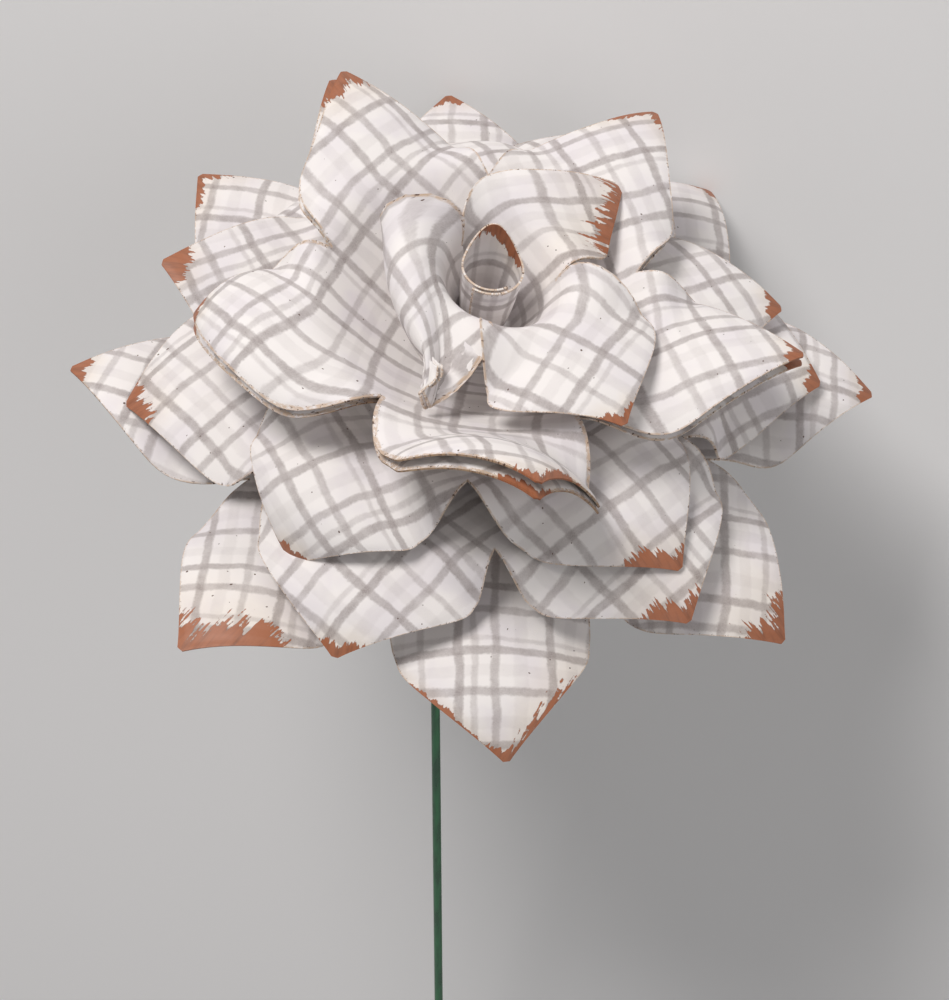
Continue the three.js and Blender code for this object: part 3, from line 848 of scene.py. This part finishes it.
def wire_stem():
    """The wire as a round tube along its line, with its cut ends closed."""
    line = stem_points(FINE_STEM_PIECES)
    sides = 20
    end_share = 0.86  # of the radius, where the cut ends are rounded off
    tangent = np.gradient(line, axis=0)
    tangent /= np.linalg.norm(tangent, axis=1, keepdims=True)
    first = np.cross(tangent, [1, 0, 0])
    first /= np.linalg.norm(first, axis=1, keepdims=True)
    second = np.cross(tangent, first)
    radius = np.full(len(line), WIRE_DIAMETER / 2)
    radius[[0, -1]] = WIRE_DIAMETER / 2 * end_share
    turns = np.arange(sides) * 2 * math.pi / sides
    rings = line[:, None] + radius[:, None, None] * (
        first[:, None] * np.cos(turns)[None, :, None] + second[:, None] * np.sin(turns)[None, :, None])
    points = rings.reshape(-1, 3)
    faces = []
    for ring in range(len(line) - 1):
        for k in range(sides):
            a, b = ring * sides + k, ring * sides + (k + 1) % sides
            faces.append((a, a + sides, b + sides, b))
    faces.append(list(range(sides)))
    faces.append(list(range(len(points) - sides, len(points)))[::-1])
    piece = add_piece("stem_wire_enamelled", points, faces, [ENAMEL])
    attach(piece, "root")
    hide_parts("stem_wire")


def glue_dab():
    """A lumpy dab round the wire, flat where it meets the paper."""
    wire_gap, fullness = 0.1, 0.85
    lumps, lumps_round, lumps_down = 0.10, 2.2, 0.5
    bore = WIRE_DIAMETER / 2 + wire_gap
    top = -(PAPER_THICKNESS / 2 + CLEARANCE)
    rows, sides = 16, 56
    profile = []
    for row in range(rows + 1):
        angle = math.pi / 2 * row / rows
        radius = bore + (GLUE_RADIUS - bore) * math.cos(angle) ** fullness
        profile.append((radius, -GLUE_HEIGHT * math.sin(angle)))
    points, faces = [], []
    for k in range(sides):
        way = 2 * math.pi * k / sides
        for radius, depth in profile:
            spot = Vector((lumps_round * math.cos(way), lumps_round * math.sin(way), depth * lumps_down))
            lump = 1 + lumps * noise.noise(spot)
            reach = bore + (radius - bore) * min(lump * 0.96, 1.0)
            points.append((reach * math.cos(way), reach * math.sin(way), top + depth * (0.9 + 0.1 * lump)))
    size = rows + 1
    for k in range(sides):
        for row in range(rows):
            a, b = k * size + row, ((k + 1) % sides) * size + row
            faces.append((a, a + 1, b + 1, b))
    inner_top = len(points)
    for k in range(sides):
        way = 2 * math.pi * k / sides
        points.append((bore * math.cos(way), bore * math.sin(way), top))
    for k in range(sides):
        after = (k + 1) % sides
        faces.append((k * size, after * size, inner_top + after, inner_top + k))
        faces.append((inner_top + k, inner_top + after, after * size + rows, k * size + rows))
    piece = add_piece("glue_dab_set", np.array(points), faces, [GLUE])
    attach(piece, "root")
    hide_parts("glue_dab")


for layer_name in LAYERS:
    petal_layer(layer_name)
centre_roll()
wire_stem()
glue_dab()


# Floor, light and camera, with lengths in metres

FLOOR_HALF = 4.0
WINDOW_PLACE, WINDOW_SIZE, WINDOW_POWER = (-0.36, 0.88, 0.60), 0.45, 9.0
FILL_PLACE, FILL_SIZE, FILL_POWER = (0.80, 0.20, 0.75), 0.9, 1.8
WINDOW_TINT, FILL_TINT = (1.0, 0.975, 0.955), (0.97, 0.985, 1.0)
SKY_COLOUR, SKY_STRENGTH = (1.0, 0.985, 0.975, 1), 0.28
BACKDROP_COLOUR = (0.72, 0.72, 0.73, 1)


def matte(name, tone, mottled):
    """A dull surface whose tone changes slowly."""
    material, tree, shader = new_material(name)
    place = put(tree, "TexCoord").outputs["Object"]
    soft = put(tree, "TexNoise", {"Vector": place, "Scale": 3.0, "Detail": 4.0}).outputs["Fac"]
    tree.links.new(mix(tree, soft, tone, mottled), shader.inputs["Base Color"])
    shader.inputs["Roughness"].default_value = 0.9
    return material


def floor():
    mesh = bpy.data.meshes.new("floor")
    half = FLOOR_HALF
    corners = [(-half, -half, 0), (half, -half, 0), (half, half, 0), (-half, half, 0)]
    mesh.from_pydata(corners, [], [(0, 1, 2, 3)])
    mesh.materials.append(matte("pale_floor", FLOOR_PALE, FLOOR_MOTTLED))
    piece = bpy.data.objects.new("floor", mesh)
    bpy.context.scene.collection.objects.link(piece)


def area_lamp(name, place, target, size, power, tint):
    data = bpy.data.lights.new(name, "AREA")
    data.shape, data.size, data.energy, data.color = "DISK", size, power, tint
    lamp = bpy.data.objects.new(name, data)
    bpy.context.scene.collection.objects.link(lamp)
    lamp.location = place
    lamp.rotation_euler = (Vector(target) - Vector(place)).to_track_quat("-Z", "Y").to_euler()


def camera():
    """Looks at the head from 56 degrees above the plane of its petals, on the stem's side."""
    elevation = math.radians(56)
    back = np.array([0, -math.cos(elevation), math.sin(elevation)])
    up = np.array([0, math.sin(elevation), math.cos(elevation)])
    right = np.array([1.0, 0, 0])
    distance = 420.0  # in millimetres
    # in pixels of the photograph, whose longer side is the frame's height
    focal, long_side = 2770.0, 1000
    middle, head = (474.5, 500.0), (474.0, 392.0)
    target = -(right * (head[0] - middle[0]) + up * (middle[1] - head[1])) * distance / focal
    place = target + back * distance
    data = bpy.data.cameras.new("view")
    data.sensor_width = 36
    data.lens = focal / long_side * data.sensor_width
    data.clip_start, data.clip_end = 0.01, 50
    seen = bpy.data.objects.new("view", data)
    bpy.context.scene.collection.objects.link(seen)
    axes = np.stack([right, up, back], 1)
    turn = Matrix((TO_FRAME_TURN @ axes).tolist()).to_4x4()
    turn.translation = Vector((TO_FRAME_TURN @ place + TO_FRAME_PLACE) * MM)
    seen.matrix_world = turn
    bpy.context.scene.camera = seen


def world():
    """A dim soft sky as light, and a pale one where the camera or a reflection sees it."""
    made = bpy.data.worlds.new("soft_studio")
    made.use_nodes = True
    tree = made.node_tree
    light = tree.nodes["Background"]
    light.inputs["Color"].default_value = SKY_COLOUR
    light.inputs["Strength"].default_value = SKY_STRENGTH
    pale = put(tree, "Background", {"Color": BACKDROP_COLOUR, "Strength": 1.0})
    path = put(tree, "LightPath")
    seen = calc(tree, "MAXIMUM", path.outputs["Is Camera Ray"], path.outputs["Is Glossy Ray"])
    seen = calc(tree, "MAXIMUM", seen, path.outputs["Is Transmission Ray"])
    both = put(tree, "MixShader", {0: seen, 1: light.outputs[0], 2: pale.outputs[0]})
    tree.links.new(both.outputs[0], tree.nodes["World Output"].inputs["Surface"])
    bpy.context.scene.world = made


floor()
head = TO_FRAME_PLACE * MM
area_lamp("window_light", head + np.array(WINDOW_PLACE), head, WINDOW_SIZE, WINDOW_POWER, WINDOW_TINT)
area_lamp("side_fill", head + np.array(FILL_PLACE), head, FILL_SIZE, FILL_POWER, FILL_TINT)
camera()
world()
bpy.context.scene.view_settings.view_transform = "Standard"
